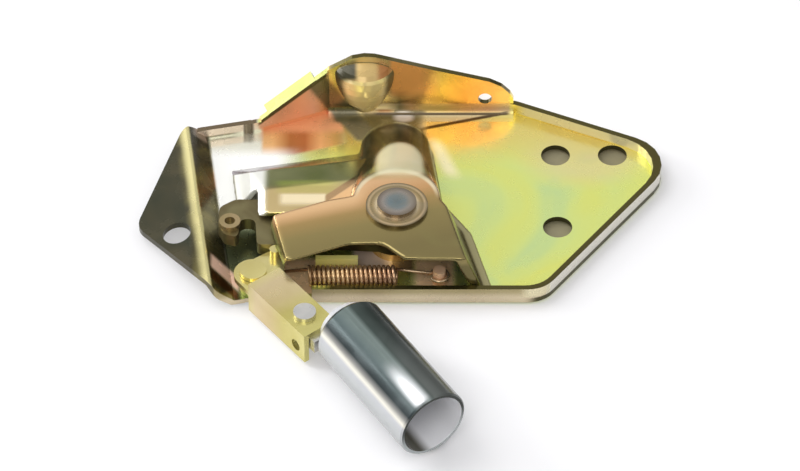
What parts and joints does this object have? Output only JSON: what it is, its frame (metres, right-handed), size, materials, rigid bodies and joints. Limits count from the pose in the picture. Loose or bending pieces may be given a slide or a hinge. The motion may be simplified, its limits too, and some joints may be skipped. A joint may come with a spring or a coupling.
{
  "type": "car door lock",
  "caption": "Pressed-steel car door lock: rimmed tray, canopy cover over a pivoted catch, tension spring, and a swinging release lever with a tubular grip",
  "frame": {"origin": "on the main pivot axis, at the flat back face of the tray", "axes": "+X runs along the tray from the ear to the end with the fixing holes; +Y runs from the grip side to the tall flange; +Z runs from the back face up along the pivot pin"},
  "size_m": [0.1501, 0.1415, 0.024],
  "materials": {
    "yellow_zinc": "yellow-passivated zinc plating on pressed steel, glossy",
    "orange_zinc": "orange-gold passivated zinc plating, glossy",
    "dark_steel": "dark brown oiled steel",
    "bright_steel": "bright zinc plated",
    "chrome_tube": "bright plated tube",
    "spring_steel": "copper-brown passivated spring wire"
  },
  "bodies": {
    "frame": {"base_plate": "yellow_zinc", "cover": "orange_zinc", "pivot_pin": "bright_steel", "pivot_washer": "yellow_zinc", "catch_spacer": "orange_zinc", "release_pin": "bright_steel", "release_spacer": "yellow_zinc", "spring_anchor": "orange_zinc", "guide_bar": "yellow_zinc", "coil_spring": "spring_steel"},
    "catch": {"catch": "dark_steel", "catch_stud": "bright_steel"},
    "release": {"release_lever": "yellow_zinc", "spring_post": "bright_steel", "grip_tang": "bright_steel", "grip_rivet": "bright_steel", "grip": "chrome_tube"}
  },
  "joints": [
    {"name": "release_swing", "type": "hinge", "parent": "frame", "child": "release", "pos_m": [-0.0405, -0.0185, 0.0062], "axis": [0, 0, 1], "range_deg": [0, 20], "stiffness_Nm_per_rad": 0.5, "springref_deg": -22.92, "deforming": ["coil_spring"]},
    {"name": "catch_swing", "type": "hinge", "parent": "frame", "child": "catch", "pos_m": [0, 0, 0.0062], "axis": [0, 0, 1], "range_deg": [-4, 0]}
  ],
  "couplings": [
    {"joint": "catch_swing", "follows": "release_swing", "ratio": -0.2}
  ]
}
